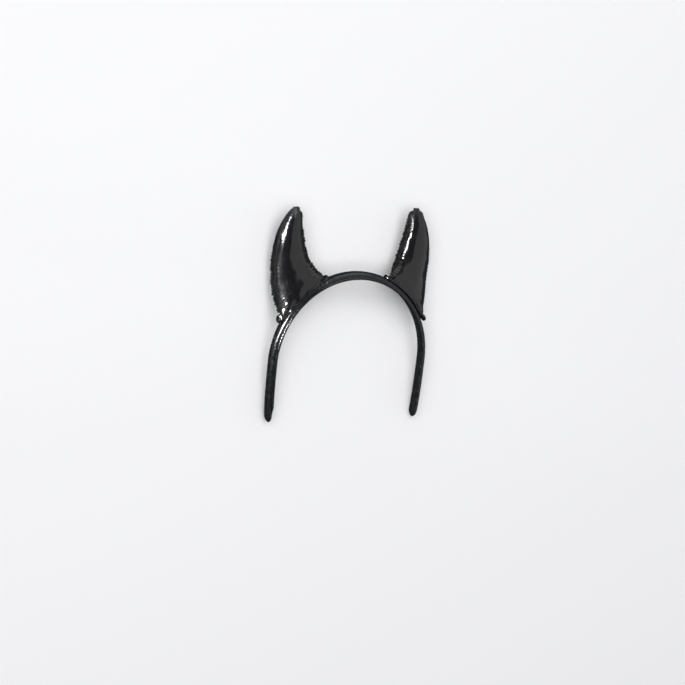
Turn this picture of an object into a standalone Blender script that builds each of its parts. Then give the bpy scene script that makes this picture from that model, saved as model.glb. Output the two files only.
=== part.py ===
"""A devil horns headband: a covered strip bent to the head, with two stuffed vinyl horns sewn to it.

The pieces are modelled as worn, in the headband's own frame: X across the head, -Y to the face and
+Z up from the crown. An empty then lays the whole thing on its back, as it rests on a table.
"""
import math

import bpy
import bmesh
import numpy as np
from mathutils import Matrix, Vector

MM = 0.001
GAP = 0.3  # millimetres kept between pieces that touch

# The arch, in millimetres, along the middle of the strip's thickness
ARCH_HALF_WIDTH = 78.0
ARCH_RISE = 86.0
LEG_LENGTH = 60.0
LEG_CURL = 2.0  # how far a leg's end turns in
STRIP_WIDTH = 12.0
STRIP_THICKNESS = 4.5
STRIP_CORNER = 1.5
STRIP_DOME = 0.35
END_ROUND = 7.0
CROWN_STEPS = 45  # odd, so that one facet lies flat across the crown
LEG_STEPS = 14

# The horns' footprints on the arch, as angles from the crown, in degrees
FOOT_INNER_ANGLE = 23.5
FOOT_OUTER_ANGLE = 60.5
FOOT_HALF_DEPTH = 5.6
NECK_HEIGHT = 3.2  # the horn rises this far from the strip before it swells
NECK_HALF_DEPTH = 6.0

# The seam line sewn along the strip's front face
WELT_RADIUS = 0.8
WELT_DROP = 0.9

# The rolled tuck at each end of a footprint
TUCK_RADIUS = 1.2
TUCK_WRAP = 25.0
TUCK_STEPS = 12

# The wearer's left horn, from its foot to its tip, in millimetres: where its inner and outer seams
# run, how deep its panels bulge off the seams, and how far the section bows up between them
SECTION_COLUMNS = ("inner_x", "inner_y", "inner_z", "outer_x", "outer_y", "outer_z", "front", "back", "bow")
HORN_SECTIONS = (
    (36.6, 2.4, 0.8, 76.0, 5.4, -34.4, 9.0, 8.6, 3.6),
    (39.8, 5.0, 3.4, 78.2, 11.0, -26.0, 11.2, 10.8, 2.3),
    (42.8, 8.2, 7.0, 80.0, 15.6, -16.2, 12.8, 12.4, 1.1),
    (45.6, 11.2, 11.8, 80.8, 18.2, -5.4, 13.6, 13.4, 0.4),
    (47.8, 13.2, 17.2, 81.0, 19.0, 4.6, 13.7, 13.6, 0.0),
    (49.9, 14.4, 22.5, 80.8, 19.1, 14.5, 13.2, 13.2, 0.0),
    (51.9, 15.1, 30.0, 79.8, 18.5, 26.0, 12.2, 12.2, 0.0),
    (53.6, 15.8, 37.5, 77.5, 18.0, 37.0, 10.8, 10.8, 0.0),
    (54.8, 16.1, 45.0, 74.2, 17.6, 46.0, 9.1, 9.1, 0.0),
    (55.4, 16.0, 52.0, 70.8, 17.2, 53.0, 7.4, 7.4, 0.0),
    (56.1, 15.8, 57.4, 68.0, 16.6, 58.2, 5.8, 5.8, 0.0),
    (58.2, 15.8, 61.2, 65.4, 16.2, 61.7, 3.6, 3.6, 0.0),
)
ROWS_PER_SECTION = 2
PANEL_COLUMNS = 14
SLANT_LEAST = 0.35  # below this cosine the gap isn't widened any more

# How the headband lies: its two legs' ends and the backs of its horns touch the table
LIE_BACK = math.radians(-90.0)
PAD_PRESS = 0.45  # how far the stuffing gives where a horn rests
LEAN_LIMIT = math.radians(20.0)
TOUCH_STEPS = 40


def clear_scene():
    """Removes what the file opened with."""
    for thing in list(bpy.data.objects):
        bpy.data.objects.remove(thing)


def vinyl(name, colour, roughness):
    """A Principled BSDF for one finish of the patent vinyl."""
    material = bpy.data.materials.new(name)
    material.use_nodes = True
    shader = material.node_tree.nodes["Principled BSDF"]
    shader.inputs["Base Color"].default_value = (*colour, 1.0)
    shader.inputs["Roughness"].default_value = roughness
    shader.inputs["Metallic"].default_value = 0.0
    return material


def arch_point(angle):
    """Centreline point and outward normal on the crown, at an angle from its top in radians."""
    point = np.array([ARCH_HALF_WIDTH * math.sin(angle), 0.0, -ARCH_RISE * (1 - math.cos(angle))])
    normal = np.array([ARCH_RISE * math.sin(angle), 0.0, ARCH_HALF_WIDTH * math.cos(angle)])
    return point, normal / np.linalg.norm(normal)


def leg_point(drop):
    """Centreline point and outward normal on the left leg, a distance below the crown's foot."""
    share = drop / LEG_LENGTH
    point = np.array([ARCH_HALF_WIDTH - LEG_CURL * share**3, 0.0, -ARCH_RISE - drop])
    normal = np.array([1.0, 0.0, -3 * LEG_CURL * share**2 / LEG_LENGTH])
    return point, normal / np.linalg.norm(normal)


def arch_stations():
    """Every centreline station from the right leg's end over the crown to the left's."""
    half = math.pi / 2
    crown = [arch_point(half * (2 * k / CROWN_STEPS - 1)) for k in range(CROWN_STEPS + 1)]
    drops = [LEG_LENGTH * k / LEG_STEPS for k in range(1, LEG_STEPS + 1)]
    left = [leg_point(drop) for drop in drops]
    flip = np.array([-1.0, 1.0, 1.0])
    right = [(point * flip, normal * flip) for point, normal in reversed(left)]
    reach = [-drop for drop in reversed(drops)] + [0.0] * len(crown) + drops
    return right + crown + left, reach


def strip_outline():
    """The strip's section as (across, out) pairs: flat inside, faintly domed outside."""
    half_w, half_t, r = STRIP_WIDTH / 2, STRIP_THICKNESS / 2, STRIP_CORNER
    corners = ((half_w, half_t, 0), (-half_w, half_t, 90), (-half_w, -half_t, 180), (half_w, -half_t, 270))
    outline = []
    for across, out, start in corners:
        centre_a = across - math.copysign(r, across)
        centre_o = out - math.copysign(r, out)
        for step in range(3):
            turn = math.radians(start + 45 * step)
            outline.append((centre_a + r * math.cos(turn), centre_o + r * math.sin(turn)))
        if start == 0:
            outline.append((half_w / 3, half_t + STRIP_DOME))
            outline.append((-half_w / 3, half_t + STRIP_DOME))
    return outline


def end_scale(reach):
    """How much the section shrinks as a leg rounds off at its end."""
    into = abs(reach) - (LEG_LENGTH - END_ROUND)
    if into <= 0:
        return 1.0
    return max(0.45, math.sqrt(max(0.0, 1 - (into / END_ROUND) ** 2)))


def mesh_object(name, points, faces, material, parent, smooth=40.0):
    """A named object made from millimetre points, shaded smooth but for sharp folds."""
    mesh = bpy.data.meshes.new(name)
    mesh.from_pydata([tuple(float(c) * MM for c in p) for p in points], [], faces)
    shape = bmesh.new()
    shape.from_mesh(mesh)
    bmesh.ops.remove_doubles(shape, verts=shape.verts, dist=0.01 * MM)
    bmesh.ops.recalc_face_normals(shape, faces=shape.faces)
    if shape.calc_volume(signed=True) < 0:
        bmesh.ops.reverse_faces(shape, faces=shape.faces)
    shape.to_mesh(mesh)
    shape.free()
    mesh.materials.append(material)
    mesh.shade_smooth()
    mesh.set_sharp_from_angle(angle=math.radians(smooth))
    thing = bpy.data.objects.new(name, mesh)
    bpy.context.collection.objects.link(thing)
    thing.parent = parent
    return thing


def ring_faces(rings, around):
    """Quads between equal rings, with an end cap on each."""
    faces = []
    for r in range(rings - 1):
        for k in range(around):
            a, b = r * around + k, r * around + (k + 1) % around
            faces.append((a, b, b + around, a + around))
    faces.append(tuple(range(around)))
    faces.append(tuple((rings - 1) * around + k for k in reversed(range(around))))
    return faces


def make_strip(material, parent):
    """The covered strip that goes over the head."""
    stations, reach = arch_stations()
    outline = strip_outline()
    points = []
    for (centre, normal), drop in zip(stations, reach):
        scale = end_scale(drop)
        for across, out in outline:
            points.append(centre + out * scale * normal + np.array([0.0, across * scale, 0.0]))
    return mesh_object("headband", points, ring_faces(len(stations), len(outline)), material, parent)


def tube(name, path, radius, sides, material, parent):
    """A round roll along a path of points, with flat ends."""
    path = np.array(path)
    along = np.gradient(path, axis=0)
    along /= np.linalg.norm(along, axis=1)[:, None]
    points = []
    side = np.cross(along[0], (0.0, 1.0, 0.3))
    for point, forward in zip(path, along):
        side = side - forward * side.dot(forward)
        side /= np.linalg.norm(side)
        other = np.cross(forward, side)
        for k in range(sides):
            turn = 2 * math.pi * k / sides
            points.append(point + radius * (math.cos(turn) * side + math.sin(turn) * other))
    return mesh_object(name, points, ring_faces(len(path), sides), material, parent, smooth=60.0)


def make_welt(material, parent):
    """The sewn seam that runs along the strip's front face."""
    stations, reach = arch_stations()
    front = -(STRIP_WIDTH / 2 + GAP + WELT_RADIUS)
    kept = [s for s, drop in zip(stations, reach) if abs(drop) <= LEG_LENGTH - END_ROUND]
    path = [centre - WELT_DROP * normal + np.array([0.0, front, 0.0]) for centre, normal in kept]
    return tube("edge_seam", path, WELT_RADIUS, 8, material, parent)


def foot_point(turn, grow=0.0, lift=GAP):
    """A point of a footprint on the arch; turn 0 is its outer end and 180 degrees its inner end."""
    middle = math.radians(FOOT_OUTER_ANGLE + FOOT_INNER_ANGLE) / 2
    half = math.radians(FOOT_OUTER_ANGLE - FOOT_INNER_ANGLE) / 2
    per_radian = (ARCH_HALF_WIDTH + ARCH_RISE) / 2
    length = half * per_radian
    edge = np.array([length * math.cos(turn), FOOT_HALF_DEPTH * math.sin(turn)])
    outward = np.array([math.cos(turn) / length, math.sin(turn) / FOOT_HALF_DEPTH])
    edge += grow * outward / np.linalg.norm(outward)
    centre, normal = arch_point(middle + edge[0] / per_radian)
    base = centre + (STRIP_THICKNESS / 2 + STRIP_DOME + lift) * normal
    return base, edge[1]


def table_rows():
    """The horn's sections with rows filled in between them by a smooth curve."""
    inner, _ = foot_point(math.pi)
    outer, _ = foot_point(0.0)
    foot = (*inner, *outer, FOOT_HALF_DEPTH, FOOT_HALF_DEPTH, 0.0)
    inner, _ = foot_point(math.pi, lift=NECK_HEIGHT)
    outer, _ = foot_point(0.0, lift=NECK_HEIGHT)
    neck = (*inner, *outer, NECK_HALF_DEPTH, NECK_HALF_DEPTH, 0.0)
    knots = np.array([foot, neck, *HORN_SECTIONS])
    rows = [knots[0]]
    last = len(knots) - 1
    for k in range(last):
        before, here, there, after = (knots[min(max(i, 0), last)] for i in range(k - 1, k + 3))
        for step in range(1, ROWS_PER_SECTION + 1):
            t = step / ROWS_PER_SECTION
            rise = (there - before) * t + (2 * before - 5 * here + 4 * there - after) * t**2
            rows.append(here + 0.5 * (rise + (3 * here - before - 3 * there + after) * t**3))
    return rows


def seam_point(row, level, turn):
    """A point between a section's two seams, in the middle of the stuffing."""
    values = dict(zip(SECTION_COLUMNS, row))
    inner = np.array([values[f"inner_{c}"] for c in "xyz"])
    outer = np.array([values[f"outer_{c}"] for c in "xyz"])
    chord = outer - inner
    lift = np.array([-chord[2], 0.0, chord[0]])
    lift /= np.linalg.norm(lift)
    middle = (inner + outer) / 2 + chord / 2 * math.cos(turn) + values["bow"] * math.sin(turn) ** 2 * lift
    settle = min(1.0, max(0.0, 2.0 - level / ROWS_PER_SECTION))
    if settle > 0:
        footed, _ = foot_point(turn)
        flat = (foot_point(math.pi)[0] + foot_point(0.0)[0]) / 2
        flat = flat + (foot_point(0.0)[0] - foot_point(math.pi)[0]) / 2 * math.cos(turn)
        middle = middle + (footed - flat) * settle
    face = np.array([chord[1], -chord[0], 0.0])
    return middle, face / np.linalg.norm(face)


def horn_grid():
    """Mid points, facing directions, half gaps and section values over a whole horn."""
    rows = table_rows()
    turns = [math.pi * k / PANEL_COLUMNS for k in range(PANEL_COLUMNS + 1)]
    cells = [[seam_point(row, level, turn) for turn in turns] for level, row in enumerate(rows)]
    middle = np.array([[cell[0] for cell in line] for line in cells])
    face = np.array([[cell[1] for cell in line] for line in cells])
    normal = np.cross(np.gradient(middle, axis=0), np.gradient(middle, axis=1))
    normal /= np.maximum(np.linalg.norm(normal, axis=2, keepdims=True), 1e-9)
    slant = np.abs((normal * face).sum(axis=2, keepdims=True))
    half_gap = GAP / 2 / np.maximum(slant, SLANT_LEAST)
    depth = np.array([[math.sin(turn) for turn in turns] for _ in rows])[:, :, None]
    front = depth * np.array([dict(zip(SECTION_COLUMNS, row))["front"] for row in rows])[:, None, None]
    back = depth * np.array([dict(zip(SECTION_COLUMNS, row))["back"] for row in rows])[:, None, None]
    return middle, face, half_gap, front, back


def horn_panel(name, side, front, material, parent, press):
    """One sewn panel of a horn with its half of the stuffing behind it."""
    middle, face, half_gap, front_depth, back_depth = horn_grid()
    sign = 1.0 if front else -1.0
    flat = middle + sign * half_gap * face
    round_side = flat + sign * (front_depth if front else back_depth) * face
    levels, wide = middle.shape[:2]
    points = []
    for level in range(levels):
        points += list(round_side[level]) + list(flat[level])
    faces = []
    for r in range(levels):
        here, above = 2 * wide * r, 2 * wide * (r + 1)
        for k in range(wide - 1):
            if r + 1 < levels:
                faces.append((here + k, here + k + 1, above + k + 1, above + k))
                a, b = here + wide + k, above + wide + k
                faces.append((a, b, b + 1))
                faces.append((a, b + 1, a + 1))
            if r in (0, levels - 1):
                faces.append((here + k, here + wide + k, here + wide + k + 1, here + k + 1))
    points = [press(np.array([side * p[0], p[1], p[2]])) for p in points]
    return mesh_object(name, points, faces, material, parent)


def make_tuck(name, side, outer_end, material, parent):
    """The rolled tuck of vinyl round one end of a horn's foot."""
    about = 0.0 if outer_end else math.pi
    wrap = math.radians(TUCK_WRAP)
    path = []
    for k in range(TUCK_STEPS + 1):
        turn = about + wrap * (2 * k / TUCK_STEPS - 1)
        base, across = foot_point(turn, grow=TUCK_RADIUS + 3 * GAP, lift=GAP + TUCK_RADIUS)
        path.append((side * base[0], across, base[2]))
    return tube(name, path, TUCK_RADIUS, 10, material, parent)


def lying_matrix(tilt, slide, height):
    """Turns the worn frame onto its back, leans it by a tilt and moves it along and up to the table."""
    turn = Matrix.Rotation(LIE_BACK + tilt, 4, "X")
    return Matrix.Translation(Vector((0.0, slide, height))) @ turn


def resting_pose():
    """The tilt at which the legs' ends and the horns' backs touch the table together, with the shift
    that brings the lowest point to the table and the middle of the length to the origin."""
    stations, reach = arch_stations()
    ends = []
    for (centre, normal), drop in zip(stations, reach):
        for across, out in strip_outline():
            ends.append(centre + (out * normal + np.array([0.0, across, 0.0])) * end_scale(drop))
    ends = np.array(ends)
    middle, face, half_gap, front_depth, back_depth = horn_grid()
    backs = (middle - face * (half_gap + back_depth)).reshape(-1, 3)
    fronts = (middle + face * (half_gap + front_depth)).reshape(-1, 3)
    low, high = -LEAN_LIMIT, LEAN_LIMIT
    for _ in range(TOUCH_STEPS):
        tilt = (low + high) / 2
        turn = np.array(lying_matrix(tilt, 0.0, 0.0).to_3x3())
        if min(ends @ turn[2]) > min(backs @ turn[2]) + PAD_PRESS:
            low = tilt
        else:
            high = tilt
    lengths = np.concatenate([ends, backs, fronts]) @ turn[1]
    return tilt, -(min(lengths) + max(lengths)) / 2 * MM, -min(ends @ turn[2]) * MM


def main():
    clear_scene()
    tilt, slide, height = resting_pose()
    table = bpy.data.objects.new("lying_on_its_back", None)
    bpy.context.collection.objects.link(table)
    table.matrix_world = lying_matrix(tilt, slide, height)
    down = np.array(table.matrix_world.to_3x3())[2]

    def press(point):
        """Flattens the stuffing where it would sink below the table."""
        below = float(down @ point) + height / MM
        return point - down * min(0.0, below)

    glossy = vinyl("patent_vinyl", (0.010, 0.010, 0.012), 0.12)
    strip = vinyl("strip_vinyl", (0.016, 0.017, 0.019), 0.20)
    sewn = vinyl("seam_vinyl", (0.012, 0.012, 0.014), 0.25)
    make_strip(strip, table)
    make_welt(sewn, table)
    for hand, side in (("left", 1.0), ("right", -1.0)):
        horn_panel(f"horn_{hand}_front", side, True, glossy, table, press)
        horn_panel(f"horn_{hand}_back", side, False, glossy, table, press)
        make_tuck(f"tuck_{hand}_outer", side, True, sewn, table)
        make_tuck(f"tuck_{hand}_inner", side, False, sewn, table)


main()
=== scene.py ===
import math

import bpy
import numpy as np
from mathutils import Matrix, Vector, noise


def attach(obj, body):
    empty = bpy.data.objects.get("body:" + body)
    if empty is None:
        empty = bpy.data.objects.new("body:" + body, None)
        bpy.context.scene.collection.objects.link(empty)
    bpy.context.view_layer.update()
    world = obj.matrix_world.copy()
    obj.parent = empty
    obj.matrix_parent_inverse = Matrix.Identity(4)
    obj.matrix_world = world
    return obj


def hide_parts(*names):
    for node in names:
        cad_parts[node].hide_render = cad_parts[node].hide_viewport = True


bl_info = {
    "name": "Devil Horns Headband",
    "version": (1, 0, 0),
    "blender": (4, 5, 0),
    "location": "3D View > Sidebar > Headband",
    "description": "Dresses a plain headband with stuffed vinyl horns, seams, hems and a studio",
    "category": "Object",
}

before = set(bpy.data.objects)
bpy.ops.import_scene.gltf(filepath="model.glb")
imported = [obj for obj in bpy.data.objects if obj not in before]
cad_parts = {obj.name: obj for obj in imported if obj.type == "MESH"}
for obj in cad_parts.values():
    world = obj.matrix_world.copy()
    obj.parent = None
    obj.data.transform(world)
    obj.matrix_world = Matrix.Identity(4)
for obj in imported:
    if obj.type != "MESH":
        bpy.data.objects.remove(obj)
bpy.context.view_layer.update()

MM = 0.001
BODY = "root"
HANDS = {"left": 1.0, "right": -1.0}

# The seeds of each horn's noises: its skin, the sway and swell of its beads, and its hem
SEEDS = {
    "left": {"skin": 33.0, "sway": 5.0, "swell": 9.0, "hem": 6.0},
    "right": {"skin": 7.0, "sway": 3.0, "swell": 7.0, "hem": -6.0},
}

# How the worn headband lies on its back: its lean, and its shift along and above the table
LEAN = math.radians(-80.963)
SLIDE = 40.404
RISE = 27.731
WORN_TO_TABLE = (
    Matrix.Translation(Vector((0.0, SLIDE, RISE)) * MM) @ Matrix.Rotation(LEAN, 4, "X")
)

# The arch, in millimetres, along the middle of the strip's thickness
ARCH_HALF_WIDTH = 78.0
ARCH_RISE = 86.0
LEG_LENGTH = 60.0
LEG_CURL = 2.0
STRIP_WIDTH = 12.0
STRIP_THICKNESS = 4.5
END_ROUND = 7.0
CROWN_STEPS = 180
LEG_STEPS = 70

# The strip's cross section: points round it, how square its corners are, and its thinnest end
STRIP_SIDES = 44
EDGE_POWER = 0.55
FACE_POWER = 0.62
END_SCALE = 0.35

# How unevenly the covering sits, in millimetres: each noise's depth, size, stretch and seed, then
# the waves along the edges
COVER_NOISES = (
    (0.14, 8.0, (0.5, 1.0, 1.0), 2.0),
    (0.04, 3.0, (0.6, 1.0, 1.0), 5.0),
)
EDGE_WAVE_DEPTH = 0.09
EDGE_WAVE_RATE = 1.35
EDGE_WAVE_WANDER = 2.0
EDGE_WAVE_SIZE = 10.0
COVER_GIVE = 0.8
LINING_SHARE = 0.35

# The edge seam, in millimetres: how far it sits inside the strip's middle, the step along it, how
# far out of the edge it stands as a share of its radius, and how its ends taper
WELT_INSET = 1.5
WELT_STEP = 0.8
WELT_PROUD = 0.75
WELT_WAIST = 0.86
WELT_TAPER = (-1.5, 11.0)
WELT_NOISE_DEPTH = 0.05
WELT_NOISE_SIZE = 5.0

# Where each horn is sewn to the arch
FOOT_INNER_ANGLE = 23.5
FOOT_OUTER_ANGLE = 60.5
FOOT_HALF_DEPTH = 5.6
FOOT_LIFT = 0.65
NECK_HEIGHT = 3.2
FOOT_FLARE = 1.0
NECK_HALF_DEPTH = 6.0
NECK_FLARE = 2.0

# A horn from above its neck to its tip, in millimetres: its inner and outer seams, how deep its
# panels bulge, and how far a section bows up
SECTION_COLUMNS = (
    "inner_x", "inner_y", "inner_z", "outer_x", "outer_y", "outer_z", "front", "back", "bow",
)
HORN_SECTIONS = (
    (36.6, 2.4, 0.8, 76.0, 5.4, -34.4, 9.0, 8.6, 3.6),
    (39.8, 5.0, 3.4, 78.2, 11.0, -26.0, 11.2, 10.8, 2.3),
    (42.8, 8.2, 7.0, 80.0, 15.6, -16.2, 12.8, 12.4, 1.1),
    (45.6, 11.2, 11.8, 80.8, 18.2, -5.4, 13.6, 13.4, 0.4),
    (47.8, 13.2, 17.2, 81.0, 19.0, 4.6, 13.7, 13.6, 0.0),
    (49.9, 14.4, 22.5, 80.8, 19.1, 14.5, 13.2, 13.2, 0.0),
    (51.9, 15.1, 30.0, 79.8, 18.5, 26.0, 12.2, 12.2, 0.0),
    (53.6, 15.8, 37.5, 77.5, 18.0, 37.0, 10.8, 10.8, 0.0),
    (54.8, 16.1, 45.0, 74.2, 17.6, 46.0, 9.1, 9.1, 0.0),
    (55.4, 16.0, 52.0, 70.8, 17.2, 53.0, 7.4, 7.4, 0.0),
    (56.1, 15.8, 57.4, 68.0, 16.6, 58.2, 5.8, 5.8, 0.0),
    (58.4, 15.8, 59.7, 65.6, 16.2, 60.1, 3.7, 3.7, 0.0),
)
ROWS_PER_SECTION = 13
PANEL_COLUMNS = 40

# How many sections it takes for a horn's foot to lose the bend of the arch
ARCHED_SECTIONS = 2.0

# The rings that round a tip off: their share of the last section, and their rise above it
TIP_RINGS = ((0.92, 0.65), (0.79, 1.20), (0.60, 1.65), (0.36, 1.95), (0.12, 2.08))

# The ring columns of each horn's outer and inner seam, which were sewn a little off the middle
SEAM_COLUMNS = {
    "left": (0, PANEL_COLUMNS + 6),
    "right": (2 * PANEL_COLUMNS - 1, PANEL_COLUMNS - 2),
}

# Where each relief comes and goes up a horn, as shares from its foot at 0 to its tip at 1
RIBS_COME = (0.05, 0.16)
RIBS_GO = (0.86, 0.97)
OUTER_SEAM_TAUT = (0.52, 0.66)
TIP_FOLDS_COME = (0.80, 0.95)
TIP_FOLDS_GO = (0.97, 1.0)
FOOT_FOLDS_COME = (0.0, 0.04)
FOOT_FOLDS_GO = (0.05, 0.22)

# The noises in a horn's skin: the size of the features in millimetres, stretch and added seed
RIB_WANDER = (9.0, (1.0, 1.0, 1.0), 0.0)
BROAD_DENTS = (17.0, (1.0, 1.0, 0.7), 3.0)
SMALL_DENTS = (6.5, (1.3, 1.0, 0.8), 5.0)
SEAM_CREASES = (3.4, (0.7, 1.0, 1.4), 7.0)
TIP_FOLDS = (2.5, (1.2, 1.0, 0.75), 9.0)
FOOT_FOLDS = (12.0, (1.0, 1.0, 1.0), 11.0)

# The ribs' and folds' own measures: powers, shares, and depths and shifts in millimetres
RIB_POWER = 0.8
RIB_MIDDLE = 0.55
RIB_SHIFT = 1.6
INNER_RIB_SHARE = 0.8
INNER_RIB_SHIFT = 0.7
RIBS_LOST_AT_TIP = 0.7
RIBS_LOST_WHERE_TAUT = 0.75
FOLDS_LOST_AT_TIP = 0.6
SMALL_DENT_SHARE = 0.30
CREASE_GAIN = 2.2
FOOT_FOLD_COUNT = 13
FOOT_FOLD_SWAY = 2.5
FOOT_FOLD_DEPTH = 0.42
TABLE_GAP = 0.05

# The beaded seam, in millimetres: how far out of the skin it sits, the step along it, the sway of
# its beads, how even it is, how thin between beads, and how its ends taper
BEAD_PROUD = 0.10
BEAD_STEP = 0.30
BEAD_SWAY = 0.9
BEAD_SWAY_SIZE = 7.0
BEAD_EVEN = 0.85
BEAD_SWELL = 0.25
BEAD_SWELL_SIZE = 6.0
BEAD_POWER = 0.7
BEAD_WAIST = 0.48
BEAD_TAPER = (-0.4, 2.5)
BEAD_SIDES = 12

# The rolled hem, in millimetres and in shares of its radius: how it thickens, reaches out and lifts
# at the ends of a horn's foot, and how it is pinched
HEM_STEPS = 220
HEM_END_POWER = 6
HEM_THIN = 0.70
HEM_THICKER = 0.65
HEM_OUTER_REACH = 2.8
HEM_INNER_REACH = 1.5
HEM_OUTER_RAISE = 2.2
HEM_GROW = 0.55
HEM_SEAT = 0.9
HEM_LIFT = 0.35
PINCH_SIZE = 5.5
PINCH_DEPTH = 0.22
PINCH_RAISE = 0.35
HEM_WAVES = 22
HEM_WAVE_DEPTH = 0.10
HEM_WAVE_SWAY = 3

# Tubes, such as seams and hems, and the angle past which a face edge stays sharp
TUBE_SIDES = 14
TUBE_START = (0.0, 1.0, 0.3)
SHARP_ANGLE = math.radians(70.0)

# Each vinyl: the names of its colour and roughness, what is added to that roughness, the depth of
# its bump in millimetres, its grain size and its coat
VINYLS = {
    "patent_vinyl_skin": ("horn_colour", "horn_roughness", 0.0, 0.10, 1.0, 0.6),
    "strip_vinyl_skin": ("strip_colour", "strip_roughness", 0.0, 0.07, 0.8, 0.25),
    "seam_vinyl_skin": ("horn_colour", "horn_roughness", 0.04, 0.08, 0.7, 0.5),
}
WORN_COLOUR_GAIN = 1.8
VINYL_IOR = 1.5
COAT_ROUGHNESS = 0.04

# The noises in the vinyl's surface: size in millimetres and detail
SURFACE_WAVES = (2.4, 2.0)
SURFACE_PORES = (0.45, 1.0)
SURFACE_SMEARS = (7.0, 3.0)
PORE_SHARE = 0.12
SMEAR_MIDDLE = 0.5
WORN_RANGE = (0.45, 0.75)

# The camera, as measured against the worn headband: turns in degrees, distances in millimetres
CAMERA_AZIMUTH = -24.0
CAMERA_ELEVATION = 17.3
CAMERA_ROLL = 6.3
CAMERA_DISTANCE = 1600.0
AIM_RIGHT = -13.8
AIM_UP = -64.3
LENS = 88.3
SENSOR = 36.0
CLIP_START = 0.05

# What the lights are aimed at, in millimetres to the camera's right and up of the view's middle
AIMS = {
    "middle": (0.0, 0.0),
    "horn": (-52.0, 98.0),
    "tip": (-44.0, 118.0),
    "leg": (-60.0, -14.0),
}

# The lights: name, aim, direction to the camera's right, up and back, distance and size in metres,
# power, spread in degrees, and whether reflections show it
OPEN_SPREAD = 180
LIGHTS = (
    ("side_panel", "middle", (0.93, 0.0, 0.37), 2.4, (5.2, 4.2), "side_power", OPEN_SPREAD, True),
    ("top_panel", "middle", (0.2, 0.97, 0.12), 2.0, (2.4, 1.5), "top_power", OPEN_SPREAD, True),
    ("left_fill", "middle", (-0.80, 0.15, 0.60), 1.6, (0.7, 1.6), "fill_power", OPEN_SPREAD, True),
    ("rib_strip", "middle", (-0.93, 0.28, 0.02), 1.2, (0.16, 0.9), "rib_power", OPEN_SPREAD, True),
    ("horn_softbox", "horn", (-0.66, 0.08, 0.70), 0.6, (0.13, 0.22), "key_power", 16, True),
    ("tip_softbox", "tip", (0.22, 0.55, 0.80), 0.6, (0.05, 0.12), "tip_power", 12, True),
    ("leg_softbox", "leg", (-0.70, 0.10, 0.70), 0.5, (0.34, 0.12), "leg_power", 10, True),
    ("overhead", "middle", (0.1, 0.1, 0.98), 3.0, (4.0, 4.0), "floor_power", OPEN_SPREAD, False),
)

# The floor and the room's own faint light
FLOOR_REACH = 6.0
FLOOR_COLOUR = (0.90, 0.90, 0.91, 1.0)
FLOOR_ROUGHNESS = 0.75
FLOOR_SPECULAR = 0.2
ROOM_COLOUR = (0.9, 0.95, 1.0, 1.0)
ROOM_STRENGTH = 0.05


class HeadbandShape(bpy.types.PropertyGroup):
    """Sizes of what is sewn, tucked and creased."""

    bead_spacing: bpy.props.FloatProperty(
        name="Bead spacing", description="From one pucker of a horn's seam to the next",
        default=3.3 * MM, unit="LENGTH")
    bead_radius: bpy.props.FloatProperty(
        name="Bead radius", description="Radius of the raised seam at a pucker",
        default=0.95 * MM, unit="LENGTH")
    pucker_depth: bpy.props.FloatProperty(
        name="Pucker depth", description="How deep the ribs beside a seam are",
        default=1.8 * MM, unit="LENGTH")
    pucker_reach: bpy.props.FloatProperty(
        name="Pucker reach", description="How far the ribs run in from a seam",
        default=8.2 * MM, unit="LENGTH")
    crinkle_depth: bpy.props.FloatProperty(
        name="Crinkle depth", description="Depth of the fine creases beside a seam",
        default=0.62 * MM, unit="LENGTH")
    crinkle_reach: bpy.props.FloatProperty(
        name="Crinkle reach", description="How far the fine creases run in from a seam",
        default=9.0 * MM, unit="LENGTH")
    tip_crumple: bpy.props.FloatProperty(
        name="Tip crumple", description="Depth of the fine folds at a horn's tip",
        default=1.3 * MM, unit="LENGTH")
    dent_depth: bpy.props.FloatProperty(
        name="Dent depth", description="Depth of the broad dents in the stuffing",
        default=0.85 * MM, unit="LENGTH")
    hem_radius: bpy.props.FloatProperty(
        name="Hem radius", description="Radius of the rolled hem round a horn's foot",
        default=1.5 * MM, unit="LENGTH")
    strip_dome: bpy.props.FloatProperty(
        name="Strip dome", description="How far the strip's outer face is rounded up",
        default=1.2 * MM, unit="LENGTH")
    welt_radius: bpy.props.FloatProperty(
        name="Edge seam radius", description="Radius of the seam along the strip's front edge",
        default=1.4 * MM, unit="LENGTH")
    nip_spacing: bpy.props.FloatProperty(
        name="Nip spacing", description="From one nip of the edge seam to the next",
        default=3.2 * MM, unit="LENGTH")


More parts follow.
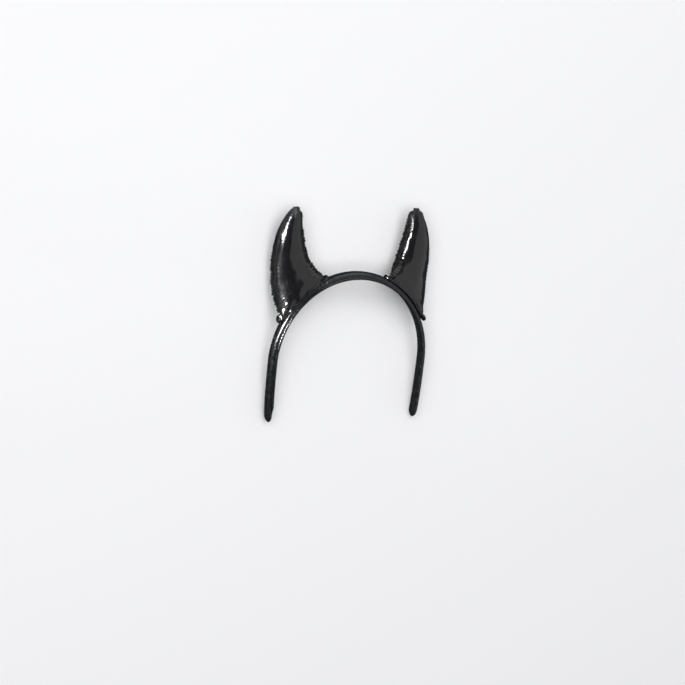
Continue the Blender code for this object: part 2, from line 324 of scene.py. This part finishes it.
class HeadbandFinish(bpy.types.PropertyGroup):
    """Colours and gloss of the vinyl, and the studio's lights."""

    horn_colour: bpy.props.FloatVectorProperty(
        name="Horn colour", description="Colour of the horns' patent vinyl",
        default=(0.006, 0.006, 0.007), subtype="COLOR")
    strip_colour: bpy.props.FloatVectorProperty(
        name="Strip colour", description="Colour of the strip's covering",
        default=(0.010, 0.011, 0.013), subtype="COLOR")
    horn_roughness: bpy.props.FloatProperty(
        name="Horn roughness", description="How dull the horns' vinyl is",
        default=0.20, min=0.0, max=1.0, subtype="FACTOR")
    strip_roughness: bpy.props.FloatProperty(
        name="Strip roughness", description="How dull the strip's vinyl is",
        default=0.27, min=0.0, max=1.0, subtype="FACTOR")
    side_power: bpy.props.FloatProperty(
        name="Side panel power", description="Power of the large soft panel at the right",
        default=32.0, unit="POWER")
    top_power: bpy.props.FloatProperty(
        name="Top panel power", description="Power of the soft panel beyond the horns' tips",
        default=11.0, unit="POWER")
    fill_power: bpy.props.FloatProperty(
        name="Fill power", description="Power of the dim light at the left that shows the ribs",
        default=0.7, unit="POWER")
    rib_power: bpy.props.FloatProperty(
        name="Rib light power",
        description="Power of the low strip light that grazes the outer ribs",
        default=0.8, unit="POWER")
    key_power: bpy.props.FloatProperty(
        name="Softbox power",
        description="Power of the gridded softbox that draws a horn's highlight",
        default=0.25, unit="POWER")
    leg_power: bpy.props.FloatProperty(
        name="Leg light power", description="Power of the gridded softbox that shines on a leg",
        default=0.40, unit="POWER")
    tip_power: bpy.props.FloatProperty(
        name="Tip light power", description="Power of the gridded softbox that shines on a tip",
        default=0.010, unit="POWER")
    floor_power: bpy.props.FloatProperty(
        name="Overhead power", description="Power of the overhead light that evens the floor",
        default=118.0, unit="POWER")


def shape():
    """The sizes, in millimetres, by name."""
    values = bpy.context.scene.headband_shape
    return {key: getattr(values, key) / MM for key in HeadbandShape.__annotations__}


def finish():
    """The colours, gloss and powers."""
    return bpy.context.scene.headband_finish


def arch_point(angle):
    """Centreline point and outward normal of the crown, at an angle from its top in radians."""
    sine, cosine = math.sin(angle), math.cos(angle)
    point = np.array([ARCH_HALF_WIDTH * sine, 0.0, -ARCH_RISE * (1 - cosine)])
    normal = np.array([ARCH_RISE * sine, 0.0, ARCH_HALF_WIDTH * cosine])
    return point, normal / np.linalg.norm(normal)


def leg_point(drop):
    """Centreline point and outward normal on the left leg, a distance below the crown's foot."""
    share = drop / LEG_LENGTH
    point = np.array([ARCH_HALF_WIDTH - LEG_CURL * share**3, 0.0, -ARCH_RISE - drop])
    normal = np.array([1.0, 0.0, -3 * LEG_CURL * share**2 / LEG_LENGTH])
    return point, normal / np.linalg.norm(normal)


def arch_stations():
    """Centreline points, outward normals and drops from the right leg's end to the left's."""
    half = math.pi / 2
    crown = [arch_point(half * (2 * k / CROWN_STEPS - 1)) for k in range(CROWN_STEPS + 1)]
    drops = [LEG_LENGTH * k / LEG_STEPS for k in range(1, LEG_STEPS + 1)]
    left = [leg_point(drop) for drop in drops]
    flip = np.array([-1.0, 1.0, 1.0])
    right = [(point * flip, normal * flip) for point, normal in reversed(left)]
    stations = right + crown + left
    reach = [*reversed(drops)] + [0.0] * len(crown) + drops
    points = np.array([point for point, _ in stations])
    normals = np.array([normal for _, normal in stations])
    return points, normals, np.array(reach)


def lengths_along(points):
    """Distance along a path at each of its points."""
    steps = np.linalg.norm(np.diff(points, axis=0), axis=1)
    return np.concatenate([[0.0], np.cumsum(steps)])


def smooth_step(value, start, end):
    """0 before start, 1 after end, and a smooth rise between them."""
    t = np.clip((value - start) / (end - start), 0.0, 1.0)
    return t * t * (3 - 2 * t)


def rumple(point, size, stretch=(1.0, 1.0, 1.0), seed=0.0):
    """Smooth noise from -1 to 1 with features of about a size in millimetres."""
    place = Vector([point[k] * stretch[k] / size + seed for k in range(3)])
    return noise.noise(place)


def rumples(points, size, stretch=(1.0, 1.0, 1.0), seed=0.0):
    """The same noise over a whole grid of points."""
    flat = points.reshape(-1, 3)
    return np.array([rumple(p, size, stretch, seed) for p in flat]).reshape(points.shape[:-1])


def creases(points, size, stretch=(1.0, 1.0, 1.0), seed=0.0):
    """Sharp valleys at -1 between rounded folds, whose tops lie mostly below 0."""
    return np.abs(rumples(points, size, stretch, seed)) * CREASE_GAIN - 1.0


def piece(name, points, faces, material, slot, *nodes):
    """A piece of the object from worn millimetre points: built, shaded, riding and replacing."""
    mesh = bpy.data.meshes.new(name)
    placed = [WORN_TO_TABLE @ Vector([float(c) * MM for c in p]) for p in points]
    mesh.from_pydata(placed, [], faces)
    mesh.validate()
    mesh.materials.append(material)
    mesh.shade_smooth()
    mesh.set_sharp_from_angle(angle=SHARP_ANGLE)
    thing = bpy.data.objects.new(name, mesh)
    bpy.context.collection.objects.link(thing)
    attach(thing, BODY)
    if nodes:
        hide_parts(*nodes)
    return thing


def skin_faces(rings, around, flipped=False):
    """Quads between rings of points, with one flat cap at each end."""
    faces = []
    for r in range(rings - 1):
        for k in range(around):
            a, b = r * around + k, r * around + (k + 1) % around
            faces.append((a, b, b + around, a + around))
    faces.append(tuple(range(around))[::-1])
    faces.append(tuple((rings - 1) * around + k for k in range(around)))
    if flipped:
        faces = [face[::-1] for face in faces]
    return faces


def tube_points(path, radii, sides=TUBE_SIDES):
    """Rings of points round a path, with a radius at each of its points."""
    path = np.array(path)
    along = np.gradient(path, axis=0)
    along /= np.linalg.norm(along, axis=1)[:, None]
    side = np.cross(along[0], TUBE_START)
    rings = []
    for point, forward, radius in zip(path, along, radii):
        side = side - forward * side.dot(forward)
        side /= np.linalg.norm(side)
        other = np.cross(forward, side)
        for k in range(sides):
            turn = 2 * math.pi * k / sides
            rings.append(point + radius * (math.cos(turn) * side + math.sin(turn) * other))
    return rings


def resample(points, spacing):
    """A path's points again, evenly spaced."""
    lengths = lengths_along(points)
    count = max(2, int(lengths[-1] / spacing) + 1)
    wanted = np.linspace(0.0, lengths[-1], count)
    return np.array([np.interp(wanted, lengths, points[:, k]) for k in range(3)]).T


def foot_point(turn, grow=0.0, lift=FOOT_LIFT):
    """A point of a footprint on the arch; turn 0 is its outer end and 180 degrees its inner end."""
    middle = math.radians(FOOT_OUTER_ANGLE + FOOT_INNER_ANGLE) / 2
    half = math.radians(FOOT_OUTER_ANGLE - FOOT_INNER_ANGLE) / 2
    per_radian = (ARCH_HALF_WIDTH + ARCH_RISE) / 2
    length = half * per_radian
    edge = np.array([length * math.cos(turn), FOOT_HALF_DEPTH * math.sin(turn)])
    outward = np.array([math.cos(turn) / length, math.sin(turn) / FOOT_HALF_DEPTH])
    edge += grow * outward / np.linalg.norm(outward)
    centre, normal = arch_point(middle + edge[0] / per_radian)
    base = centre + (STRIP_THICKNESS / 2 + lift) * normal
    return np.array([base[0], -edge[1], base[2]])


def table_rows():
    """The horn's sections with rows filled in between them by a smooth curve."""
    ends = []
    foot = (FOOT_LIFT, FOOT_HALF_DEPTH, FOOT_FLARE)
    neck = (NECK_HEIGHT, NECK_HALF_DEPTH, NECK_FLARE)
    for lift, half, flare in (foot, neck):
        inner = foot_point(math.pi, lift=lift)
        outer = foot_point(0.0, grow=flare, lift=lift + flare)
        ends.append((*inner, *outer, half, half, 0.0))
    knots = np.array([*ends, *HORN_SECTIONS])
    last = len(knots) - 1
    rows = [knots[0]]
    for k in range(last):
        before, here, there, after = (knots[min(max(i, 0), last)] for i in range(k - 1, k + 3))
        for step in range(1, ROWS_PER_SECTION + 1):
            t = step / ROWS_PER_SECTION
            rise = (there - before) * t + (2 * before - 5 * here + 4 * there - after) * t**2
            rows.append(here + 0.5 * (rise + (3 * here - before - 3 * there + after) * t**3))
    return rows


def horn_grid():
    """The left horn's smooth skin: rings of points, front panel first, then the back one."""
    rows = table_rows()
    flat_middle = (foot_point(math.pi) + foot_point(0.0)) / 2
    flat_half = (foot_point(0.0) - foot_point(math.pi)) / 2
    rings = []
    for level, row in enumerate(rows):
        values = dict(zip(SECTION_COLUMNS, row))
        inner = np.array([values[f"inner_{c}"] for c in "xyz"])
        outer = np.array([values[f"outer_{c}"] for c in "xyz"])
        chord = outer - inner
        lift = np.array([-chord[2], 0.0, chord[0]])
        lift /= np.linalg.norm(lift)
        face = np.array([chord[1], -chord[0], 0.0])
        face /= np.linalg.norm(face)
        settle = min(1.0, max(0.0, ARCHED_SECTIONS - level / ROWS_PER_SECTION))
        ring = []
        for k in range(2 * PANEL_COLUMNS):
            turn = math.pi * k / PANEL_COLUMNS
            bow = values["bow"] * math.sin(turn) ** 2
            point = (inner + outer) / 2 + chord / 2 * math.cos(turn) + bow * lift
            if settle > 0:
                arched = foot_point(turn)
                arched[1] = 0.0
                point = point + (arched - flat_middle - flat_half * math.cos(turn)) * settle
            depth = values["front"] if k <= PANEL_COLUMNS else values["back"]
            ring.append(point + face * depth * math.sin(turn))
        rings.append(ring)
    top = np.array(rings[-1])
    centre = top.mean(axis=0)
    for share, rise in TIP_RINGS:
        rings.append(centre + (top - centre) * share + np.array([0.0, 0.0, rise]))
    return np.array(rings)


def ring_normals(grid):
    """Outward normals of a grid of closed rings."""
    around = (np.roll(grid, -1, axis=1) - np.roll(grid, 1, axis=1)) / 2
    along = np.gradient(grid, axis=0)
    normals = np.cross(around, along)
    normals /= np.maximum(np.linalg.norm(normals, axis=2, keepdims=True), 1e-9)
    outward = grid - grid.mean(axis=1, keepdims=True)
    if (normals * outward).sum() < 0:
        normals = -normals
    return normals


def seam_ribs(distance, along, sizes, wander):
    """Ribs that run in from a seam and fade: rounded backs with sharp valleys between them."""
    phase = math.pi * (along + wander) / sizes["bead_spacing"]
    ribs = np.abs(np.sin(phase)) ** RIB_POWER - RIB_MIDDLE
    fade = np.exp(-((distance / sizes["pucker_reach"]) ** 2))
    return ribs * fade * sizes["pucker_depth"]


def seam_distances(grid, column):
    """How far each point of the rings lies from a seam, and how far along that seam it is."""
    steps = np.linalg.norm(np.roll(grid, -1, axis=1) - grid, axis=2)
    start = np.zeros((grid.shape[0], 1))
    place = np.concatenate([start, np.cumsum(steps, axis=1)[:, :-1]], axis=1)
    apart = np.abs(place - place[:, column][:, None])
    apart = np.minimum(apart, steps.sum(axis=1)[:, None] - apart)
    return apart, lengths_along(grid[:, column])[:, None]


def creased_horn(hand, seed):
    """A horn's skin, not yet mirrored, with its puckers, dents, tip folds and foot gathers."""
    sizes = shape()
    grid = horn_grid()
    normals = ring_normals(grid)
    levels = np.linspace(0.0, 1.0, grid.shape[0])[:, None]
    to_outer, outer_along = seam_distances(grid, SEAM_COLUMNS[hand][0])
    to_inner, inner_along = seam_distances(grid, SEAM_COLUMNS[hand][1])
    turn = np.linspace(0.0, 2 * math.pi, 2 * PANEL_COLUMNS, endpoint=False)[None, :]

    def noised(make, kind):
        """One of the noises over the whole skin."""
        size, stretch, added = kind
        return make(grid, size, stretch, seed + added)

    wander = RIB_SHIFT * noised(rumples, RIB_WANDER)
    keep = smooth_step(levels, *RIBS_COME)
    keep = keep * (1 - RIBS_LOST_AT_TIP * smooth_step(levels, *RIBS_GO))
    taut = 1 - RIBS_LOST_WHERE_TAUT * smooth_step(levels, *OUTER_SEAM_TAUT)
    relief = keep * taut * seam_ribs(to_outer, outer_along, sizes, wander)
    inner_ribs = seam_ribs(to_inner, inner_along, sizes, wander + INNER_RIB_SHIFT)
    relief = relief + INNER_RIB_SHARE * keep * inner_ribs

    relief = relief + sizes["dent_depth"] * noised(rumples, BROAD_DENTS)
    relief = relief + SMALL_DENT_SHARE * sizes["dent_depth"] * noised(rumples, SMALL_DENTS)
    near_outer = taut * np.exp(-((to_outer / sizes["crinkle_reach"]) ** 2))
    near_inner = np.exp(-((to_inner / sizes["crinkle_reach"]) ** 2))
    near_seam = np.maximum(near_outer, near_inner)
    relief = relief + sizes["crinkle_depth"] * near_seam * noised(creases, SEAM_CREASES)

    tip = smooth_step(levels, *TIP_FOLDS_COME)
    tip = tip * (1 - FOLDS_LOST_AT_TIP * smooth_step(levels, *TIP_FOLDS_GO))
    relief = relief + sizes["tip_crumple"] * tip * noised(creases, TIP_FOLDS)
    gather = 1 - smooth_step(levels, *FOOT_FOLDS_GO)
    folds = np.sin(FOOT_FOLD_COUNT * turn + FOOT_FOLD_SWAY * noised(rumples, FOOT_FOLDS))
    relief = relief + FOOT_FOLD_DEPTH * gather * folds * smooth_step(levels, *FOOT_FOLDS_COME)

    floor_up = np.array(WORN_TO_TABLE.to_3x3())[2]
    grid = grid + normals * relief[:, :, None]
    height = grid @ floor_up + RISE
    below = np.minimum(0.0, height - TABLE_GAP)
    return grid - below[:, :, None] * floor_up


def skin_group():
    """The fine surface of creased vinyl, as a colour, a roughness and a height."""
    group = bpy.data.node_groups.new("Vinyl surface", "ShaderNodeTree")
    sockets = group.interface
    given_values = (
        ("Roughness", "NodeSocketFloat", 0.15),
        ("Roughness Spread", "NodeSocketFloat", 0.08),
        ("Grain Size", "NodeSocketFloat", 1.0),
        ("Colour", "NodeSocketColor", (0.01, 0.01, 0.01, 1.0)),
        ("Worn Colour", "NodeSocketColor", (0.03, 0.03, 0.03, 1.0)),
    )
    for label, kind, value in given_values:
        sockets.new_socket(label, in_out="INPUT", socket_type=kind).default_value = value
    sockets.new_socket("Colour", in_out="OUTPUT", socket_type="NodeSocketColor")
    sockets.new_socket("Roughness", in_out="OUTPUT", socket_type="NodeSocketFloat")
    sockets.new_socket("Height", in_out="OUTPUT", socket_type="NodeSocketFloat")
    nodes, links = group.nodes, group.links
    given = nodes.new("NodeGroupInput")
    result = nodes.new("NodeGroupOutput")
    place = nodes.new("ShaderNodeTexCoord")

    def scaled(size, detail):
        """The value of a noise with features of a size in millimetres, times the grain size."""
        texture = nodes.new("ShaderNodeTexNoise")
        texture.inputs["Detail"].default_value = detail
        divide = nodes.new("ShaderNodeMath")
        divide.operation = "DIVIDE"
        divide.inputs[0].default_value = 1.0 / (size * MM)
        links.new(given.outputs["Grain Size"], divide.inputs[1])
        links.new(divide.outputs[0], texture.inputs["Scale"])
        links.new(place.outputs["Object"], texture.inputs["Vector"])
        return texture.outputs["Fac"]

    def math_node(operation, first, second):
        """A Math node fed by sockets or plain numbers."""
        node = nodes.new("ShaderNodeMath")
        node.operation = operation
        for slot, value in zip(node.inputs, (first, second)):
            if isinstance(value, (int, float)):
                slot.default_value = value
            else:
                links.new(value, slot)
        return node.outputs[0]

    waves = scaled(*SURFACE_WAVES)
    pores = math_node("MULTIPLY", scaled(*SURFACE_PORES), PORE_SHARE)
    smears = scaled(*SURFACE_SMEARS)
    links.new(math_node("ADD", waves, pores), result.inputs["Height"])
    spread = math_node("SUBTRACT", smears, SMEAR_MIDDLE)
    spread = math_node("MULTIPLY", spread, given.outputs["Roughness Spread"])
    links.new(math_node("ADD", given.outputs["Roughness"], spread), result.inputs["Roughness"])
    mix = nodes.new("ShaderNodeMix")
    mix.data_type = "RGBA"
    worn = nodes.new("ShaderNodeMapRange")
    worn.inputs["From Min"].default_value, worn.inputs["From Max"].default_value = WORN_RANGE
    links.new(smears, worn.inputs["Value"])
    links.new(worn.outputs["Result"], mix.inputs["Factor"])
    links.new(given.outputs["Colour"], mix.inputs["A"])
    links.new(given.outputs["Worn Colour"], mix.inputs["B"])
    links.new(mix.outputs["Result"], result.inputs["Colour"])
    return group


def vinyl(name):
    """One of the glossy vinyls, whose surface comes from the shared group."""
    found = bpy.data.materials.get(name)
    if found:
        return found
    colour_key, roughness_key, duller, bump, grain, coat = VINYLS[name]
    colour = getattr(finish(), colour_key)
    roughness = getattr(finish(), roughness_key) + duller
    material = bpy.data.materials.new(name)
    material.use_nodes = True
    nodes, links = material.node_tree.nodes, material.node_tree.links
    shader = nodes["Principled BSDF"]
    surface = nodes.new("ShaderNodeGroup")
    surface.node_tree = bpy.data.node_groups.get("Vinyl surface") or skin_group()
    surface.inputs["Roughness"].default_value = roughness
    surface.inputs["Grain Size"].default_value = grain
    surface.inputs["Colour"].default_value = (*colour, 1.0)
    worn = [WORN_COLOUR_GAIN * c for c in colour]
    surface.inputs["Worn Colour"].default_value = (*worn, 1.0)
    relief = nodes.new("ShaderNodeBump")
    relief.inputs["Strength"].default_value = 1.0
    relief.inputs["Distance"].default_value = bump * MM
    links.new(surface.outputs["Height"], relief.inputs["Height"])
    links.new(relief.outputs["Normal"], shader.inputs["Normal"])
    links.new(surface.outputs["Colour"], shader.inputs["Base Color"])
    links.new(surface.outputs["Roughness"], shader.inputs["Roughness"])
    shader.inputs["IOR"].default_value = VINYL_IOR
    shader.inputs["Coat Weight"].default_value = coat
    shader.inputs["Coat Roughness"].default_value = COAT_ROUGHNESS
    return material


class HEADBAND_OT_strip(bpy.types.Operator):
    """Add the covered strip that bends into the arch and its legs"""

    bl_idname = "headband.strip"
    bl_label = "Covered Strip"

    def execute(self, context):
        points, normals, reach = arch_stations()
        half_w, half_t = STRIP_WIDTH / 2, STRIP_THICKNESS / 2
        dome = shape()["strip_dome"]
        outline = []
        for k in range(STRIP_SIDES):
            turn = 2 * math.pi * k / STRIP_SIDES
            across = half_w * math.copysign(abs(math.cos(turn)) ** EDGE_POWER, math.cos(turn))
            out = half_t * math.copysign(abs(math.sin(turn)) ** FACE_POWER, math.sin(turn))
            if out > 0:
                out += dome * (1 - (across / half_w) ** 2)
            outline.append((across, out))
        along = lengths_along(points)
        rings = []
        for point, normal, drop, place in zip(points, normals, reach, along):
            into = max(0.0, drop - (LEG_LENGTH - END_ROUND)) / END_ROUND
            scale = max(END_SCALE, math.sqrt(max(0.0, 1 - into**2)))
            for across, out in outline:
                spot = np.array([place, across, out])
                pull = sum(depth * rumple(spot, *kind) for depth, *kind in COVER_NOISES)
                edge = abs(across) / half_w
                sway = EDGE_WAVE_WANDER * rumple(spot, EDGE_WAVE_SIZE)
                pull += EDGE_WAVE_DEPTH * edge**4 * math.sin(place * EDGE_WAVE_RATE + sway)
                if out < 0:
                    pull *= LINING_SHARE
                swell = 1 + pull / half_t * COVER_GIVE
                sideways = np.array([0, across * scale, 0])
                rings.append(point + out * scale * swell * normal + sideways)
        faces = skin_faces(len(points), STRIP_SIDES)
        skin = vinyl("strip_vinyl_skin")
        piece("covered_strip", rings, faces, skin, "strip_vinyl", "headband")
        return {"FINISHED"}


class HEADBAND_OT_edge_seam(bpy.types.Operator):
    """Add the rolled seam along the strip's front edge"""

    bl_idname = "headband.edge_seam"
    bl_label = "Edge Seam"

    def execute(self, context):
        sizes = shape()
        points, normals, reach = arch_stations()
        kept = reach <= LEG_LENGTH - END_ROUND
        radius = sizes["welt_radius"]
        offset = np.array([0.0, -(STRIP_WIDTH / 2 + WELT_PROUD * radius), 0.0])
        path = resample(points[kept] - WELT_INSET * normals[kept] + offset, WELT_STEP)
        along = lengths_along(path)
        nip = np.abs(np.sin(math.pi * along / sizes["nip_spacing"]))
        uneven = WELT_NOISE_DEPTH * np.array([rumple(p, WELT_NOISE_SIZE) for p in path])
        radii = radius * (WELT_WAIST + (1 - WELT_WAIST) * nip) + uneven
        ends = np.minimum(along, along[-1] - along)
        taper = smooth_step(ends, *WELT_TAPER)
        radii *= taper
        path[:, 1] += WELT_PROUD * radius * (1 - taper)
        rings = tube_points(path, radii)
        faces = skin_faces(len(path), TUBE_SIDES)
        skin = vinyl("seam_vinyl_skin")
        piece("rolled_edge_seam", rings, faces, skin, "seam_vinyl", "edge_seam")
        return {"FINISHED"}


class HEADBAND_OT_horns(bpy.types.Operator):
    """Add the two stuffed horns with their seams"""

    bl_idname = "headband.horns"
    bl_label = "Stuffed Horns"

    def execute(self, context):
        for hand, side in HANDS.items():
            grid = creased_horn(hand, SEEDS[hand]["skin"])
            mirrored = grid * np.array([side, 1.0, 1.0])
            faces = skin_faces(grid.shape[0], grid.shape[1], flipped=side < 0)
            nodes = (f"horn_{hand}_front", f"horn_{hand}_back")
            name = f"stuffed_horn_{hand}"
            points, skin = mirrored.reshape(-1, 3), vinyl("patent_vinyl_skin")
            horn = piece(name, points, faces, skin, "patent_vinyl", *nodes)
            self.seam(hand, side, grid)
        return {"FINISHED"}

    def seam(self, hand, side, grid):
        """The beaded seam up a horn's outer edge, over its tip and down its inner edge."""
        sizes = shape()
        skip = ROWS_PER_SECTION
        middle = grid.mean(axis=1)
        lines = []
        for column in SEAM_COLUMNS[hand]:
            line = grid[skip:-1, column]
            outward = line - middle[skip:-1]
            outward /= np.linalg.norm(outward, axis=1)[:, None]
            lines.append(line + BEAD_PROUD * outward)
        path = resample(np.concatenate([lines[0], lines[1][::-1]]), BEAD_STEP)
        along = lengths_along(path)
        seeds = SEEDS[hand]
        wander = np.array([rumple(p, BEAD_SWAY_SIZE, seed=seeds["sway"]) for p in path])
        wander = BEAD_SWAY * wander
        phase = math.pi * (along + wander) / sizes["bead_spacing"]
        bead = np.abs(np.sin(phase)) ** BEAD_POWER
        swell = np.array([rumple(p, BEAD_SWELL_SIZE, seed=seeds["swell"]) for p in path])
        swell = BEAD_EVEN + BEAD_SWELL * swell
        radii = sizes["bead_radius"] * (BEAD_WAIST + (1 - BEAD_WAIST) * bead) * swell
        ends = np.minimum(along, along[-1] - along)
        radii = radii * smooth_step(ends, *BEAD_TAPER)
        rings = tube_points(path * np.array([side, 1.0, 1.0]), radii, BEAD_SIDES)
        faces = skin_faces(len(path), BEAD_SIDES)
        skin = vinyl("seam_vinyl_skin")
        piece(f"horn_{hand}_beaded_seam", rings, faces, skin, "patent_vinyl")


class HEADBAND_OT_hems(bpy.types.Operator):
    """Add the rolled hem that is tucked round each horn's foot"""

    bl_idname = "headband.hems"
    bl_label = "Rolled Hems"

    def execute(self, context):
        radius = shape()["hem_radius"]
        for hand, side in HANDS.items():
            path, radii = [], []
            for k in range(HEM_STEPS):
                turn = 2 * math.pi * k / HEM_STEPS
                ends = abs(math.cos(turn)) ** HEM_END_POWER
                outer = math.cos(turn) > 0
                roll = radius * (HEM_THIN + HEM_THICKER * ends)
                reach = (HEM_OUTER_REACH if outer else HEM_INNER_REACH) * ends
                raised = HEM_OUTER_RAISE * ends if outer else 0.0
                lift = roll * HEM_SEAT + HEM_LIFT + raised
                point = foot_point(turn, grow=HEM_GROW * roll + reach, lift=lift)
                pinch = rumple(point, PINCH_SIZE, seed=SEEDS[hand]["hem"])
                wave = HEM_WAVE_DEPTH * math.sin(HEM_WAVES * turn + HEM_WAVE_SWAY * pinch)
                roll *= 1 + PINCH_DEPTH * pinch + wave
                path.append(point + np.array([0.0, 0.0, PINCH_RAISE * pinch]))
                radii.append(roll)
            path = np.array(path + [path[0]]) * np.array([side, 1.0, 1.0])
            rings = tube_points(path, radii + [radii[0]])
            faces = skin_faces(len(path), TUBE_SIDES)
            skin = vinyl("seam_vinyl_skin")
            nodes = (f"tuck_{hand}_outer", f"tuck_{hand}_inner")
            piece(f"rolled_hem_{hand}", rings, faces, skin, "seam_vinyl", *nodes)
        return {"FINISHED"}


def camera_axes():
    """The camera's right, up and back directions over the lying headband."""
    turns = (CAMERA_AZIMUTH, CAMERA_ELEVATION, CAMERA_ROLL)
    azimuth, elevation, roll = (math.radians(turn) for turn in turns)
    level = math.cos(elevation)
    back = Vector((math.sin(azimuth) * level, -math.cos(azimuth) * level, math.sin(elevation)))
    right = Vector((math.cos(azimuth), math.sin(azimuth), 0.0))
    up = back.cross(right)
    right, up = (
        math.cos(roll) * right + math.sin(roll) * up,
        -math.sin(roll) * right + math.cos(roll) * up,
    )
    turn = WORN_TO_TABLE.to_3x3()
    return turn @ right, turn @ up, turn @ back


def facing(right, up, back, place):
    """A placement with given axes."""
    rotation = Matrix((right, up, back)).transposed().to_4x4()
    return Matrix.Translation(place) @ rotation


class HEADBAND_OT_stage(bpy.types.Operator):
    """Add the pale floor, the soft lights and the camera"""

    bl_idname = "headband.stage"
    bl_label = "Stage"

    def execute(self, context):
        apex = WORN_TO_TABLE.translation
        right, up, back = camera_axes()
        target = apex + (AIM_RIGHT * right + AIM_UP * up) * MM
        self.floor()
        self.camera(target, right, up, back)
        for name, aim, direction, distance, size, power, spread, glossy in LIGHTS:
            aside, above = AIMS[aim]
            middle = target + (aside * right + above * up) * MM
            energy = getattr(finish(), power)
            self.softbox(name, middle, direction, distance, size, energy, spread, glossy)
        world = bpy.data.worlds.new("studio")
        world.use_nodes = True
        room = world.node_tree.nodes["Background"]
        room.inputs["Color"].default_value = ROOM_COLOUR
        room.inputs["Strength"].default_value = ROOM_STRENGTH
        context.scene.world = world
        context.scene.view_settings.view_transform = "Standard"
        return {"FINISHED"}

    def floor(self):
        """A wide pale floor."""
        mesh = bpy.data.meshes.new("floor")
        signs = ((-1, -1), (1, -1), (1, 1), (-1, 1))
        corners = [(x * FLOOR_REACH, y * FLOOR_REACH, 0.0) for x, y in signs]
        mesh.from_pydata(corners, [], [(0, 1, 2, 3)])
        material = bpy.data.materials.new("pale_floor")
        material.use_nodes = True
        shader = material.node_tree.nodes["Principled BSDF"]
        shader.inputs["Base Color"].default_value = FLOOR_COLOUR
        shader.inputs["Roughness"].default_value = FLOOR_ROUGHNESS
        shader.inputs["Specular IOR Level"].default_value = FLOOR_SPECULAR
        mesh.materials.append(material)
        floor = bpy.data.objects.new("floor", mesh)
        floor.visible_glossy = False
        bpy.context.collection.objects.link(floor)

    def camera(self, target, right, up, back):
        """The camera at the photograph's angle to the headband."""
        data = bpy.data.cameras.new("camera")
        data.lens = LENS
        data.sensor_width = SENSOR
        data.clip_start = CLIP_START
        camera = bpy.data.objects.new("camera", data)
        camera.matrix_world = facing(right, up, back, target + back * CAMERA_DISTANCE * MM)
        bpy.context.collection.objects.link(camera)
        bpy.context.scene.camera = camera

    def softbox(self, name, target, direction, distance, size, power, spread, glossy):
        """A soft light set off from its target. A gridded one shows in reflections alone."""
        right, up, back = camera_axes()
        toward = (direction[0] * right + direction[1] * up + direction[2] * back).normalized()
        data = bpy.data.lights.new(name, "AREA")
        data.shape = "RECTANGLE"
        data.size, data.size_y = size
        data.energy = power
        data.spread = math.radians(spread)
        light = bpy.data.objects.new(name, data)
        across = up.cross(toward).normalized()
        place = target + toward * distance
        light.matrix_world = facing(across, toward.cross(across), toward, place)
        light.visible_glossy = glossy
        light.visible_diffuse = spread == OPEN_SPREAD
        light.visible_camera = False
        bpy.context.collection.objects.link(light)


STEPS = (
    HEADBAND_OT_strip,
    HEADBAND_OT_edge_seam,
    HEADBAND_OT_horns,
    HEADBAND_OT_hems,
    HEADBAND_OT_stage,
)


class HEADBAND_PT_steps(bpy.types.Panel):
    """The headband's sizes, finish and making steps"""

    bl_idname = "HEADBAND_PT_steps"
    bl_label = "Devil Horns Headband"
    bl_space_type = "VIEW_3D"
    bl_region_type = "UI"
    bl_category = "Headband"

    def draw(self, context):
        column = self.layout.column()
        for group in (context.scene.headband_shape, context.scene.headband_finish):
            for key in group.__annotations__:
                column.prop(group, key)
        for step in STEPS:
            column.operator(step.bl_idname)


CLASSES = (HeadbandShape, HeadbandFinish, *STEPS, HEADBAND_PT_steps)


def register():
    for cls in CLASSES:
        bpy.utils.register_class(cls)
    bpy.types.Scene.headband_shape = bpy.props.PointerProperty(type=HeadbandShape)
    bpy.types.Scene.headband_finish = bpy.props.PointerProperty(type=HeadbandFinish)


def unregister():
    del bpy.types.Scene.headband_finish
    del bpy.types.Scene.headband_shape
    for cls in reversed(CLASSES):
        bpy.utils.unregister_class(cls)


def main():
    register()
    bpy.ops.headband.strip()
    bpy.ops.headband.edge_seam()
    bpy.ops.headband.horns()
    bpy.ops.headband.hems()
    bpy.ops.headband.stage()


if __name__ == "__main__":
    main()
